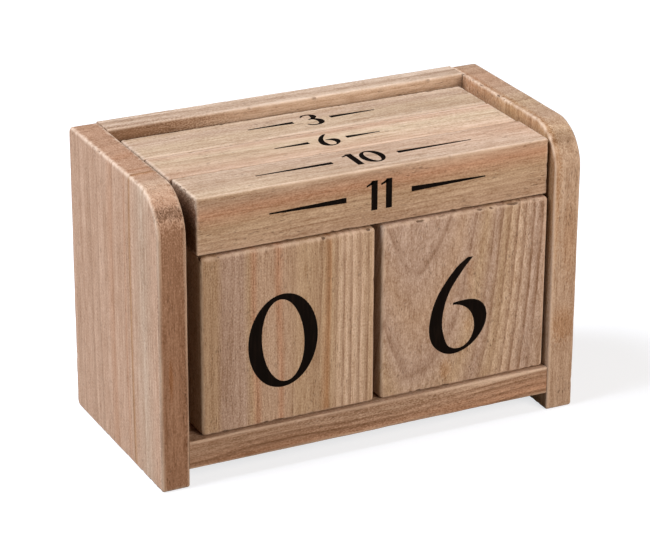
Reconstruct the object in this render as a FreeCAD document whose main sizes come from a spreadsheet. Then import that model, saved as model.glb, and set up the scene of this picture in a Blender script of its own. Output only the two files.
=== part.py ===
import FreeCAD, Part
import os
import Sketcher

# Perpetual desk calendar, in millimetres.
# An open wooden cabinet of two side panels, a back panel and a raised shelf holds two loose day
# cubes, and three loose month bars lie side by side on the cubes.
# X runs from left to right, Y from front to back and Z up. The origin is in the middle of the
# footprint at table level. Every piece is modelled from its own low corner and then placed.

# Driving sizes. Everything else follows from them.
SIZES = {
    "cube_side": 50.0,
    "cube_edge_radius": 1.0,
    "cube_recess": 1.7,
    "cube_left_play": 4.3,
    "cube_gap": 1.9,
    "cube_right_play": 0.8,
    "bar_side": 15.8,
    "bar_edge_radius": 0.5,
    "bar_recess": 3.2,
    "bar_gap": 0.25,
    "bar_left_play": 4.0,
    "bar_right_play": 0.5,
    "middle_bar_shift": 0.6,
    "rear_bar_shift": 0.8,
    "bar_rest_gap": 0.15,
    "bay_back_play": 0.3,
    "side_thickness": 8.0,
    "back_thickness": 8.0,
    "shelf_thickness": 8.0,
    "shelf_recess": 0.4,
    "foot_height": 5.0,
    "top_reveal": 3.05,
    "top_arc_radius": 12.0,
    "rear_corner_radius": 2.0,
    "toe_corner_radius": 0.9,
    "outer_edge_radius": 0.7,
    "inner_edge_radius": 0.5,
    "board_edge_radius": 0.6,
    "dowel_radius": 2.0,
    "dowel_clearance": 0.05,
    "dowel_end_gap": 0.5,
    "dowel_bore_depth": 10.0,
    "dowel_skin": 3.0,
    "dowel_chamfer": 0.5,
    "dowel_flute_radius": 0.3,
    "shelf_dowel_inset": 12.0,
    "back_dowel_inset": 15.0,
    "rear_dowel_inset": 15.5,
}
FLUTE_COUNT = 10

# Derived sizes, each an expression on the sheet of driving sizes.
CUBES_DEPTH = "(sizes.cube_recess + sizes.cube_side)"
BARS_DEPTH = "(sizes.bar_recess + 3 * sizes.bar_side + 2 * sizes.bar_gap)"
BAY_WIDTH = "(sizes.cube_left_play + 2 * sizes.cube_side + sizes.cube_gap + sizes.cube_right_play)"
BAY_DEPTH = f"(max({CUBES_DEPTH}; {BARS_DEPTH}) + sizes.bay_back_play)"
SHELF_TOP = "(sizes.foot_height + sizes.shelf_thickness)"
SHELF_MIDDLE = "(sizes.foot_height + sizes.shelf_thickness / 2)"
SHELF_DEPTH = f"({BAY_DEPTH} - sizes.shelf_recess)"
BAR_LENGTH = f"({BAY_WIDTH} - sizes.bar_left_play - sizes.bar_right_play)"
BAR_UNDERSIDE = f"({SHELF_TOP} + sizes.cube_side + sizes.bar_rest_gap)"
OUTER_WIDTH = f"({BAY_WIDTH} + 2 * sizes.side_thickness)"
OUTER_DEPTH = f"({BAY_DEPTH} + sizes.back_thickness)"
OUTER_HEIGHT = f"({BAR_UNDERSIDE} + sizes.bar_side + sizes.top_reveal)"
BACK_HEIGHT = f"({OUTER_HEIGHT} - sizes.foot_height)"
BACK_MIDDLE = f"({BAY_DEPTH} + sizes.back_thickness / 2)"
BAY_LEFT = f"(-{BAY_WIDTH} / 2)"
FRONT = f"(-{OUTER_DEPTH} / 2)"

# Dowel joints: where the pins sit along the shelf, up the back panel and across the shelf's rear.
SHELF_DOWEL_DEPTHS = ("sizes.shelf_dowel_inset", f"({BAY_DEPTH} - sizes.shelf_dowel_inset)")
BACK_DOWEL_HEIGHTS = (
    "(sizes.foot_height + sizes.back_dowel_inset)",
    f"({OUTER_HEIGHT} - sizes.back_dowel_inset)",
)
REAR_DOWEL_PLACES = (
    "sizes.rear_dowel_inset",
    f"({BAY_WIDTH} / 2)",
    f"({BAY_WIDTH} - sizes.rear_dowel_inset)",
)
SIDE_SEAT_DEPTH = "(sizes.side_thickness - sizes.dowel_skin)"
BACK_SEAT_DEPTH = "(sizes.back_thickness - sizes.dowel_skin)"

doc = FreeCAD.newDocument("desk_calendar")
sheet = doc.addObject("Spreadsheet::Sheet", "sizes")
for row, (alias, value) in enumerate(SIZES.items(), start=1):
    sheet.set(f"A{row}", str(value))
    sheet.setAlias(f"A{row}", alias)
doc.recompute()


def bind(item, **expressions):
    """Ties properties of one object to the sheet; a double underscore stands for a dot."""
    for path, expression in expressions.items():
        item.setExpression(path.replace("__", "."), expression)


def place(body, x, y, z, turn=None):
    """Puts a body's own origin at x, y, z, after a turn where the piece lies along another axis."""
    if turn is not None:
        body.Placement = FreeCAD.Placement(FreeCAD.Vector(), turn)
    bind(body, Placement__Base__x=x, Placement__Base__y=y, Placement__Base__z=z)


def origin_item(body, role):
    """The body's own base plane or axis with that role."""
    return next(item for item in body.Origin.OriginFeatures if item.Role == role)


def new_sketch(body, name, role, offset="0"):
    """An empty sketch on one of the body's base planes, moved along the plane's normal."""
    sketch = body.newObject("Sketcher::SketchObject", name)
    sketch.AttachmentSupport = (origin_item(body, role), [""])
    sketch.MapMode = "FlatFace"
    bind(sketch, AttachmentOffset__Base__z=offset)
    return sketch


def add_circle(sketch, x, y, radius):
    """A circle whose centre and radius follow the sheet."""
    circle = Part.Circle(FreeCAD.Vector(1, 1, 0), FreeCAD.Vector(0, 0, 1), 1)
    index = sketch.addGeometry(circle, False)
    for constraint, expression in (
        (Sketcher.Constraint("DistanceX", -1, 1, index, 3, 1.0), x),
        (Sketcher.Constraint("DistanceY", -1, 1, index, 3, 1.0), y),
        (Sketcher.Constraint("Radius", index, 1.0), radius),
    ):
        number = sketch.addConstraint(constraint)
        sketch.setExpression(f"Constraints[{number}]", expression)


def add_rounded_outline(sketch, width, height, radii):
    """A rectangle from the origin with a round corner at low right, high right, high left, low left."""
    corner_arc = 5.0
    wide = 60.0
    tall = 80.0
    lines = []
    arcs = []
    corners = ((wide, 0.0), (wide, tall), (0.0, tall), (0.0, 0.0))
    inward = ((-1, 1), (-1, -1), (1, -1), (1, 1))
    starts = ((corner_arc, 0.0), (wide, corner_arc), (wide - corner_arc, tall), (0.0, tall - corner_arc))
    ends = ((wide - corner_arc, 0.0), (wide, tall - corner_arc), (corner_arc, tall), (0.0, corner_arc))
    quarter = 1.5707963267948966
    for side in range(4):
        line = Part.LineSegment(FreeCAD.Vector(*starts[side], 0), FreeCAD.Vector(*ends[side], 0))
        lines.append(sketch.addGeometry(line, False))
        centre = FreeCAD.Vector(
            corners[side][0] + inward[side][0] * corner_arc,
            corners[side][1] + inward[side][1] * corner_arc,
            0,
        )
        circle = Part.Circle(centre, FreeCAD.Vector(0, 0, 1), corner_arc)
        arc = Part.ArcOfCircle(circle, (side - 1) * quarter, side * quarter)
        arcs.append(sketch.addGeometry(arc, False))
    for side in range(4):
        sketch.addConstraint(Sketcher.Constraint("Tangent", lines[side], 2, arcs[side], 1))
        sketch.addConstraint(Sketcher.Constraint("Tangent", arcs[side], 2, lines[(side + 1) % 4], 1))
        sketch.addConstraint(Sketcher.Constraint(("Horizontal", "Vertical")[side % 2], lines[side]))
    sketch.addConstraint(Sketcher.Constraint("PointOnObject", lines[0], 1, -1))
    sketch.addConstraint(Sketcher.Constraint("PointOnObject", lines[3], 1, -2))
    sized = [(Sketcher.Constraint("Radius", arc, corner_arc), radius) for arc, radius in zip(arcs, radii)]
    sized.append((Sketcher.Constraint("DistanceX", -1, 1, lines[1], 1, wide), width))
    sized.append((Sketcher.Constraint("DistanceY", -1, 1, lines[2], 1, tall), height))
    for constraint, expression in sized:
        number = sketch.addConstraint(constraint)
        sketch.setExpression(f"Constraints[{number}]", expression)


def add_block(body, length, width, height):
    """A sawn blank from the body's origin."""
    block = body.newObject("PartDesign::AdditiveBox", f"{body.Name}_blank")
    bind(block, Length=length, Width=width, Height=height)
    return block


def edges_where(shape, wanted):
    """The names of the edges whose box passes a test."""
    return [f"Edge{n}" for n, edge in enumerate(shape.Edges, start=1) if wanted(edge.BoundBox)]


def round_edges(body, base, radius, wanted, name):
    """Eases the chosen edges of the last feature with a fillet."""
    doc.recompute()
    fillet = body.newObject("PartDesign::Fillet", f"{body.Name}_{name}")
    fillet.Base = (base, edges_where(base.Shape, wanted))
    bind(fillet, Radius=radius)
    return fillet


def drill(body, name, role, offset, centres, depth, along_normal):
    """Blind dowel holes from one plane into the body."""
    sketch = new_sketch(body, f"{body.Name}_{name}_centres", role, offset)
    for x, y in centres:
        add_circle(sketch, x, y, "sizes.dowel_radius + sizes.dowel_clearance")
    pocket = body.newObject("PartDesign::Pocket", f"{body.Name}_{name}")
    pocket.Profile = sketch
    pocket.Reversed = along_normal
    bind(pocket, Length=depth)


def flat_at(axis, value):
    """A test for edges that lie in the plane where one coordinate has that value."""
    low, high = f"{axis}Min", f"{axis}Max"
    near = 1e-4
    return lambda box: abs(getattr(box, low) - value) < near and abs(getattr(box, high) - value) < near


def side_panel(name, x, on_left):
    """A board on edge with a large arc at its top front; its inner face takes the dowels."""
    body = doc.addObject("PartDesign::Body", name)
    outline = new_sketch(body, f"{name}_outline", "YZ_Plane")
    add_rounded_outline(
        outline,
        OUTER_DEPTH,
        OUTER_HEIGHT,
        (
            "sizes.rear_corner_radius",
            "sizes.rear_corner_radius",
            "sizes.top_arc_radius",
            "sizes.toe_corner_radius",
        ),
    )
    board = body.newObject("PartDesign::Pad", f"{name}_board")
    board.Profile = outline
    bind(board, Length="sizes.side_thickness")
    thickness = SIZES["side_thickness"]
    inner, outer = (thickness, 0.0) if on_left else (0.0, thickness)
    eased = round_edges(body, board, "sizes.inner_edge_radius", flat_at("X", inner), "inner_edges")
    round_edges(body, eased, "sizes.outer_edge_radius", flat_at("X", outer), "outer_edges")
    centres = [(depth, SHELF_MIDDLE) for depth in SHELF_DOWEL_DEPTHS]
    centres += [(BACK_MIDDLE, height) for height in BACK_DOWEL_HEIGHTS]
    inner_plane = "sizes.side_thickness" if on_left else "0"
    drill(body, "dowel_holes", "YZ_Plane", inner_plane, centres, SIDE_SEAT_DEPTH, not on_left)
    place(body, x, FRONT, "0")
    return body


def back_panel():
    """The board between the side panels at the rear, with eased long edges."""
    body = doc.addObject("PartDesign::Body", "back_panel")
    blank = add_block(body, BAY_WIDTH, "sizes.back_thickness", BACK_HEIGHT)
    round_edges(body, blank, "sizes.board_edge_radius", lambda box: box.XLength > 1.0, "long_edges")
    ends = [("sizes.back_thickness / 2", f"{height} - sizes.foot_height") for height in BACK_DOWEL_HEIGHTS]
    drill(body, "left_holes", "YZ_Plane", "0", ends, "sizes.dowel_bore_depth", True)
    drill(body, "right_holes", "YZ_Plane", BAY_WIDTH, ends, "sizes.dowel_bore_depth", False)
    fronts = [(across, "sizes.shelf_thickness / 2") for across in REAR_DOWEL_PLACES]
    drill(body, "shelf_holes", "XZ_Plane", "0", fronts, BACK_SEAT_DEPTH, False)
    place(body, BAY_LEFT, f"{FRONT} + {BAY_DEPTH}", "sizes.foot_height")
    return body


def shelf():
    """The raised bottom board that carries the cubes, with an eased front."""
    body = doc.addObject("PartDesign::Body", "shelf")
    blank = add_block(body, BAY_WIDTH, SHELF_DEPTH, "sizes.shelf_thickness")
    at_front = flat_at("Y", 0.0)
    round_edges(
        body,
        blank,
        "sizes.board_edge_radius",
        lambda box: at_front(box) and box.XLength > 1.0,
        "front_edges",
    )
    middle = "sizes.shelf_thickness / 2"
    ends = [(f"{depth} - sizes.shelf_recess", middle) for depth in SHELF_DOWEL_DEPTHS]
    drill(body, "left_holes", "YZ_Plane", "0", ends, "sizes.dowel_bore_depth", True)
    drill(body, "right_holes", "YZ_Plane", BAY_WIDTH, ends, "sizes.dowel_bore_depth", False)
    rears = [(across, middle) for across in REAR_DOWEL_PLACES]
    drill(body, "rear_holes", "XZ_Plane", f"-{SHELF_DEPTH}", rears, "sizes.dowel_bore_depth", True)
    place(body, BAY_LEFT, f"{FRONT} + sizes.shelf_recess", "sizes.foot_height")
    return body


def rounded_stick(name, length, width, height, radius):
    """A planed blank with all its edges rounded alike."""
    body = doc.addObject("PartDesign::Body", name)
    blank = add_block(body, length, width, height)
    round_edges(body, blank, radius, lambda box: True, "edges")
    return body


def day_cube(name, x):
    """A loose cube that stands on the shelf and shows one digit of the day on each face."""
    side = "sizes.cube_side"
    body = rounded_stick(name, side, side, side, "sizes.cube_edge_radius")
    place(body, x, f"{FRONT} + sizes.cube_recess", SHELF_TOP)
    return body


def month_bar(name, row, shift):
    """A loose square bar on top of the cubes that shows one month on each long face."""
    body = rounded_stick(name, BAR_LENGTH, "sizes.bar_side", "sizes.bar_side", "sizes.bar_edge_radius")
    y = f"{FRONT} + sizes.bar_recess + {row} * (sizes.bar_side + sizes.bar_gap)"
    place(body, f"{BAY_LEFT} + sizes.bar_left_play - {shift}", y, BAR_UNDERSIDE)
    return body


def dowel(name, seat_depth, x, y, z, turn):
    """A fluted pin with chamfered ends, glued into a blind hole in each of two boards."""
    body = doc.addObject("PartDesign::Body", name)
    section = new_sketch(body, f"{name}_section", "XY_Plane")
    add_circle(section, "0", "0", "sizes.dowel_radius")
    rod = body.newObject("PartDesign::Pad", f"{name}_rod")
    rod.Profile = section
    bind(rod, Length=f"{seat_depth} + sizes.dowel_bore_depth - 2 * sizes.dowel_end_gap")
    doc.recompute()
    ends = body.newObject("PartDesign::Chamfer", f"{name}_ends")
    ends.Base = (rod, edges_where(rod.Shape, lambda box: box.ZLength < SIZES["dowel_chamfer"]))
    bind(ends, Size="sizes.dowel_chamfer")
    flute_section = new_sketch(body, f"{name}_flute_section", "XY_Plane")
    add_circle(flute_section, "sizes.dowel_radius", "0", "sizes.dowel_flute_radius")
    flute = body.newObject("PartDesign::Pocket", f"{name}_flute")
    flute.Profile = flute_section
    flute.Type = "ThroughAll"
    flute.Reversed = True
    flutes = body.newObject("PartDesign::PolarPattern", f"{name}_flutes")
    flutes.Originals = [flute]
    flutes.Axis = (origin_item(body, "Z_Axis"), [""])
    flutes.Occurrences = FLUTE_COUNT
    body.Tip = flutes
    place(body, x, y, z, turn)
    return body


def dowels():
    """All the hidden pins: two at each end of the shelf and of the back, three behind the shelf."""
    along_x = FreeCAD.Rotation(FreeCAD.Vector(0, 1, 0), 90)
    along_y = FreeCAD.Rotation(FreeCAD.Vector(1, 0, 0), -90)
    left_start = f"{BAY_LEFT} - {SIDE_SEAT_DEPTH} + sizes.dowel_end_gap"
    right_start = f"-{BAY_LEFT} - sizes.dowel_bore_depth + sizes.dowel_end_gap"
    pins = []
    for side, start in (("left", left_start), ("right", right_start)):
        for spot, depth in zip(("front", "rear"), SHELF_DOWEL_DEPTHS):
            name = f"shelf_dowel_{side}_{spot}"
            pins.append(dowel(name, SIDE_SEAT_DEPTH, start, f"{FRONT} + {depth}", SHELF_MIDDLE, along_x))
        for spot, height in zip(("low", "high"), BACK_DOWEL_HEIGHTS):
            name = f"back_dowel_{side}_{spot}"
            pins.append(dowel(name, SIDE_SEAT_DEPTH, start, f"{FRONT} + {BACK_MIDDLE}", height, along_x))
    rear_start = f"{FRONT} + {BAY_DEPTH} - sizes.dowel_bore_depth + sizes.dowel_end_gap"
    for spot, across in zip(("left", "middle", "right"), REAR_DOWEL_PLACES):
        name = f"rear_dowel_{spot}"
        pins.append(dowel(name, BACK_SEAT_DEPTH, f"{BAY_LEFT} + {across}", rear_start, SHELF_MIDDLE, along_y))
    return pins


def check(bodies):
    """Stops before anything is written if an object failed or a piece isn't one sound solid."""
    for item in doc.Objects:
        if "Invalid" in item.State or "Error" in item.State:
            raise RuntimeError(f"{item.Name} failed: {item.State}")
    for body in bodies:
        shape = body.Shape
        if shape.isNull() or not shape.isValid() or len(shape.Solids) != 1:
            raise RuntimeError(f"{body.Label} isn't one valid solid")
        box = shape.BoundBox
        corners = [round(v, 2) for v in (box.XMin, box.YMin, box.ZMin, box.XMax, box.YMax, box.ZMax)]
        print(body.Label, round(shape.Volume, 1), corners)


cube_left = f"{BAY_LEFT} + sizes.cube_left_play"
pieces = [
    side_panel("side_panel_left", f"{BAY_LEFT} - sizes.side_thickness", True),
    side_panel("side_panel_right", f"-{BAY_LEFT}", False),
    back_panel(),
    shelf(),
    day_cube("day_cube_left", cube_left),
    day_cube("day_cube_right", f"{cube_left} + sizes.cube_side + sizes.cube_gap"),
    month_bar("month_bar_front", 0, "0"),
    month_bar("month_bar_middle", 1, "sizes.middle_bar_shift"),
    month_bar("month_bar_rear", 2, "sizes.rear_bar_shift"),
]
pieces += dowels()
doc.recompute()
check(pieces)

os.makedirs("parts", exist_ok=True)
for piece in pieces:
    piece.Shape.exportStep(f"parts/{piece.Label}.step")
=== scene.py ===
"""A perpetual desk calendar of raw pale wood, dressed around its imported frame.

Each board, cube and bar is a rounded outline carried along the piece, worked out with numpy and then
worn at its edges. The wood is one recipe. Every piece is cut from a log at a place of its own, so
that its growth rings run through it and meet at its corners. Lengths in the code are millimetres in
the frame's own axes, and become metres only in the mesh.
"""

import math
from collections import namedtuple

import bmesh
import bpy
import numpy as np
from mathutils import Euler, Matrix, Vector


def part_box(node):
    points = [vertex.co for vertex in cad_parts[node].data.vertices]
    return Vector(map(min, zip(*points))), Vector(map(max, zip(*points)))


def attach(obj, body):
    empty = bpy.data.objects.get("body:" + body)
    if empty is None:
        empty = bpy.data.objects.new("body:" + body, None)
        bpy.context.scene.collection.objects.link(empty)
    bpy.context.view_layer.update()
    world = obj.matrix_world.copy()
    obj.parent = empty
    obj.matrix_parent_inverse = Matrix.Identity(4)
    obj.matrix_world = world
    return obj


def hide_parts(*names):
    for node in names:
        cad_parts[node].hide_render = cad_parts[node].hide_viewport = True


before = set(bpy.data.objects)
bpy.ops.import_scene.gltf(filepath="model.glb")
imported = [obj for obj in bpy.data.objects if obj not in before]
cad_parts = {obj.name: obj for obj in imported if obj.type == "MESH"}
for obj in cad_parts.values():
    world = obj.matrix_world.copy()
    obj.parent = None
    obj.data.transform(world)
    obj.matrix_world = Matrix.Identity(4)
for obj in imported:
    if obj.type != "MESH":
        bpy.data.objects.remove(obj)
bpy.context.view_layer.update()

bl_info = {
    "name": "Perpetual desk calendar",
    "version": (1, 0, 0),
    "blender": (4, 5, 0),
    "location": "3D View > Sidebar > Calendar",
    "description": "Dresses the wooden calendar: boards, day cubes, month bars, numbers and stage",
    "category": "Object",
}

MM = 0.001


def to_linear(hex_colour):
    """Linear red, green, blue and alpha of an sRGB hex colour."""
    shares = [int(hex_colour[i : i + 2], 16) / 255 for i in (1, 3, 5)]
    return tuple(s / 12.92 if s <= 0.04045 else ((s + 0.055) / 1.055) ** 2.4 for s in shares) + (1.0,)


def colour(name, description, hex_colour):
    """A colour property with its default."""
    return bpy.props.FloatVectorProperty(
        name=name,
        description=description,
        subtype="COLOR",
        size=4,
        min=0.0,
        max=1.0,
        default=to_linear(hex_colour),
    )


def length(name, description, millimetres):
    """A length property with its default."""
    return bpy.props.FloatProperty(
        name=name, description=description, unit="LENGTH", min=0.0, precision=6, default=millimetres * MM
    )


def strength(name, description, amount):
    """A light's strength as a property with its default."""
    return bpy.props.FloatProperty(name=name, description=description, min=0.0, default=amount)


class CalendarSizes(bpy.types.PropertyGroup):
    """Sizes of the dressing."""

    skin: length("Skin", "How far the planed wood lies inside its nominal size, to leave room for ink", 0.03)
    board_step: length("Board step", "Distance between neighbouring points of the boards' surfaces", 0.52)
    block_step: length("Block step", "The same for the cubes and bars", 0.42)
    rub: length("Rub", "How far handling has rubbed the edges down", 0.12)
    chip: length("Chip", "Depth of the deepest chips in the edges", 0.5)
    day_height: length("Day height", "Height of a digit on the day cubes", 26.4)
    day_offset_x: length("Day offset across", "How far a digit stands left of the middle of its face", 1.9)
    day_offset_z: length("Day offset down", "How far a digit stands below the middle of its face", 1.9)
    month_height: length("Month height", "Height of a number on the month bars", 8.2)


class CalendarColours(bpy.types.PropertyGroup):
    """Colours of the wood and the ink."""

    # The sanded edges' tone, which also paints a highlight along them.
    sanded: colour("Sanded wood", "Sanded edges", "#d2baa5")
    # Also the tone of the painted light on the back panel's front.
    pale: colour("Pale wood", "The palest growth", "#c2ab98")
    base: colour("Base wood", "The wood's usual tone", "#af9683")
    straw: colour("Straw wood", "Yellowish growth zones", "#b19981")
    rosy: colour("Rosy wood", "Faintly reddish growth zones", "#b1917c")
    pink: colour("Pink wood", "Reddish growth zones", "#b28c74")
    grey: colour("Grey wood", "Greyish growth zones", "#b19b8e")
    amber: colour("Amber wood", "Orange-brown growth zones", "#a57f5e")
    # Also the tone of the painted shade marks on some pieces.
    dark: colour("Late wood", "The dark line at the end of each growth ring", "#80614a")
    # Also the tone of the painted shade in chips.
    burnt: colour("Burnt wood", "Saw burns and dirt on end grain", "#5f4836")
    ink: colour("Ink", "Printed numbers", "#0b0604")
    beech: colour("Beech", "The hidden dowels", "#a8865f")
    floor: colour("Floor", "The studio floor", "#aeaeb2")
    bounce: colour("Bounce", "The floor's share of light thrown back on the calendar", "#a09a92")


class CalendarLight(bpy.types.PropertyGroup):
    """Strengths of the studio light."""

    key: strength("Key", "Softbox at the upper left, in watts", 36.0)
    key_colour: colour("Key colour", "Colour of the softbox at the upper left", "#ebf4ff")
    fill: strength("Fill", "Softbox at the front right, in watts", 3.6)
    fill_colour: colour("Fill colour", "Colour of the softbox at the front right", "#fff1e3")
    room: strength("Room", "Even light from all round", 0.08)
    room_colour: colour("Room colour", "Colour of the light from all round", "#ffe9d3")


def noise(points, cell, seed):
    """Smooth values from -1 to 1: random numbers on a lattice of that cell size, blended between
    its eight nearest corners with weights 3t^2 - 2t^3."""
    side = 32
    lattice = np.random.default_rng(seed).uniform(-1.0, 1.0, (side, side, side))
    scaled = points / cell
    low = np.floor(scaled).astype(int)
    t = scaled - low
    t = t * t * (3 - 2 * t)
    total = 0.0
    for corner in np.ndindex(2, 2, 2):
        weight = np.prod(np.where(corner, t, 1 - t), axis=-1)
        total = total + weight * lattice[tuple(np.moveaxis((low + corner) % side, -1, 0))]
    return total


Outline = namedtuple("Outline", "low high points normals from_corner")
Surface = namedtuple("Surface", "points normals from_edge")

# The fewest steps of an arc and of a straight run, the points of a rounded end, and an end face's rings.
ARC_STEPS = 6
RUN_STEPS = 2
BEND_POINTS = 7
FACE_RINGS = 14
# Degrees between two faces from which their edge shades sharp, and the width of an edge's sanded band, whose
# paleness is also a painted highlight.
SHARP_ANGLE = 40
SANDED_AND_HIGHLIGHT_BAND = 0.85


def rounded_outline(low, high, radii, step, tight=5.0):
    """A rectangle in the YZ plane with an arc at each corner: low rear, high rear, high front, low front.

    An arc is its centre plus its radius times (cos a, sin a) over a quarter turn, and straight runs
    join the arcs. The last array is the way along the outline to the middle of the nearest arc under
    the tight radius.
    """
    low, high = np.array(low), np.array(high)
    signs = np.array(((1, -1), (1, 1), (-1, 1), (-1, -1)))
    radii = np.array(radii)
    centres = np.where(signs > 0, high, low) - signs * radii[:, None]
    points, normals, corners = [], [], []
    for k in range(4):
        steps = max(ARC_STEPS, round(radii[k] * math.pi / 2 / step))
        angle = (k - 1) * math.pi / 2 + np.linspace(0, math.pi / 2, steps + 1)
        arc_normals = np.stack((np.cos(angle), np.sin(angle)), axis=-1)
        arc = centres[k] + radii[k] * arc_normals
        after = (k + 1) % 4
        run_end = centres[after] + radii[after] * arc_normals[-1]
        runs = max(RUN_STEPS, round(float(np.linalg.norm(run_end - arc[-1])) / step))
        run = arc[-1] + (run_end - arc[-1]) * np.linspace(0, 1, runs + 1)[1:-1, None]
        points += [arc, run]
        normals += [arc_normals, np.repeat(arc_normals[-1:], len(run), axis=0)]
        in_middle = np.arange(len(arc)) == len(arc) // 2
        corners += [in_middle & (radii[k] < tight), np.zeros(len(run), bool)]
    points = np.concatenate(points)
    around = np.linalg.norm(np.roll(points, -1, axis=0) - points, axis=-1)
    along = np.concatenate(((0.0,), np.cumsum(around)[:-1]))
    gap = np.abs(along[:, None] - along[None, np.concatenate(corners)])
    from_corner = np.minimum(gap, around.sum() - gap).min(axis=1)
    return Outline(low, high, points, np.concatenate(normals), from_corner)


def carried(outline, x_low, x_high, left_round, right_round, step):
    """The outline carried along X and closed at both ends.

    Towards an end the outline draws in by r (1 - cos a) as it nears the end by r sin a, a quarter
    round of radius r. The end faces are the last outline shrunk about its middle, with f = 1 - t^2.
    The last array is the distance to the nearest worn edge. An end with no round is glued, not worn.
    """
    bend = np.linspace(math.pi / 2, 0, BEND_POINTS)
    back = bend[::-1]
    runs = max(RUN_STEPS, round((x_high - x_low - left_round - right_round) / step))
    inner = np.linspace(x_low + left_round, x_high - right_round, runs + 1)[1:-1]
    left_x = x_low + left_round * (1 - np.sin(bend))
    right_x = x_high - right_round * (1 - np.sin(back))
    x = np.concatenate((left_x, inner, right_x))
    inset = np.concatenate((left_round * (1 - np.cos(bend)), 0 * inner, right_round * (1 - np.cos(back))))
    tilt = np.concatenate((-bend, 0 * inner, back))
    drawn = outline.points - inset[:, None, None] * outline.normals
    drawn = np.clip(drawn, outline.low + inset[:, None, None], outline.high - inset[:, None, None])
    shape = drawn.shape[:2]
    points = np.concatenate((np.broadcast_to(x[:, None, None], shape + (1,)), drawn), axis=-1)
    endways = np.broadcast_to(np.sin(tilt)[:, None, None], shape + (1,))
    sideways = np.cos(tilt)[:, None, None] * outline.normals
    normals = np.concatenate((endways, sideways), axis=-1)
    # The way along the surface from where the left round ends, and from there to each round's middle.
    far = 1e3
    last = inner[-1] + (inner[1] - inner[0]) - x_low - left_round
    way = np.concatenate((-left_round * bend, inner - x_low - left_round, last + right_round * back))
    to_left = np.abs(way + left_round * math.pi / 4) if left_round else np.full(len(x), far)
    to_right = np.abs(way - last - right_round * math.pi / 4) if right_round else np.full(len(x), far)
    distance = np.minimum(np.minimum(to_left, to_right)[:, None], outline.from_corner)

    middle = (outline.low + outline.high) / 2
    shrink = 1 - np.linspace(0, 1, FACE_RINGS)[1:] ** 2
    layers = [(points, normals, distance)]
    for end, side, end_round in ((0, -1.0, left_round), (-1, 1.0, right_round)):
        rim = drawn[end] - middle
        face = middle + shrink[:, None, None] * rim
        end_x = np.full(face.shape[:2] + (1,), x[end])
        from_rim = (1 - shrink)[:, None] * np.sum(rim * outline.normals, axis=-1)
        layer = (
            np.concatenate((end_x, face), axis=-1),
            np.broadcast_to(np.array((side, 0.0, 0.0)), face.shape[:2] + (3,)),
            from_rim + end_round * math.pi / 4 if end_round else np.full(face.shape[:2], far),
        )
        layers = [tuple(a[::-1] for a in layer)] + layers if side < 0 else layers + [layer]
    return Surface(*(np.concatenate(parts) for parts in zip(*layers)))


def wear(surface, grain_axis, seed, reach=0.7):
    """Where the edges are rubbed and where they are chipped, from 0 to 1.

    Both fade by exp(-distance to the edge / reach). Chips are the peaks of a fine noise, in the places
    that a coarse noise picks. They are deepest on edges that cut across the fibres: by a least share
    plus a multiple of n (1 - n), where n is the square of how far the surface looks along the grain."""
    rub_cell, place_cell, chip_cell = 6.0, 7.0, 1.1
    place_bias, chip_bias = 0.1, -0.2
    least, across, gain = 0.3, 2.8, 4
    edge = np.exp(-surface.from_edge / reach)
    rubbed = edge * (0.5 + 0.5 * noise(surface.points, rub_cell, seed))
    places = np.clip(noise(surface.points, place_cell, seed + 1) + place_bias, 0, 1)
    peaks = np.clip(noise(surface.points, chip_cell, seed + 2) + chip_bias, 0, 1)
    along = surface.normals[..., grain_axis] ** 2
    torn = least + across * along * (1 - along)
    return rubbed, np.clip(gain * edge * torn * places * peaks, 0, 1)


def finish_piece(name, mesh, material, body, nodes=()):
    """Puts a mesh in the scene as a piece that rides on a body and may stand for CAD nodes."""
    mesh.materials.append(material)
    piece = bpy.data.objects.new(name, mesh)
    bpy.context.scene.collection.objects.link(piece)
    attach(piece, body)
    if nodes:
        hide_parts(*nodes)


def closed_grid(rings, around):
    """Faces of rings of points that close on themselves, each ring joined to the next."""
    ring, spot = np.meshgrid(np.arange(rings - 1), np.arange(around), indexing="ij")
    after = (spot + 1) % around
    here, there = ring * around, (ring + 1) * around
    return np.stack((here + spot, there + spot, there + after, here + after), axis=-1).reshape(-1, 4)


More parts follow.
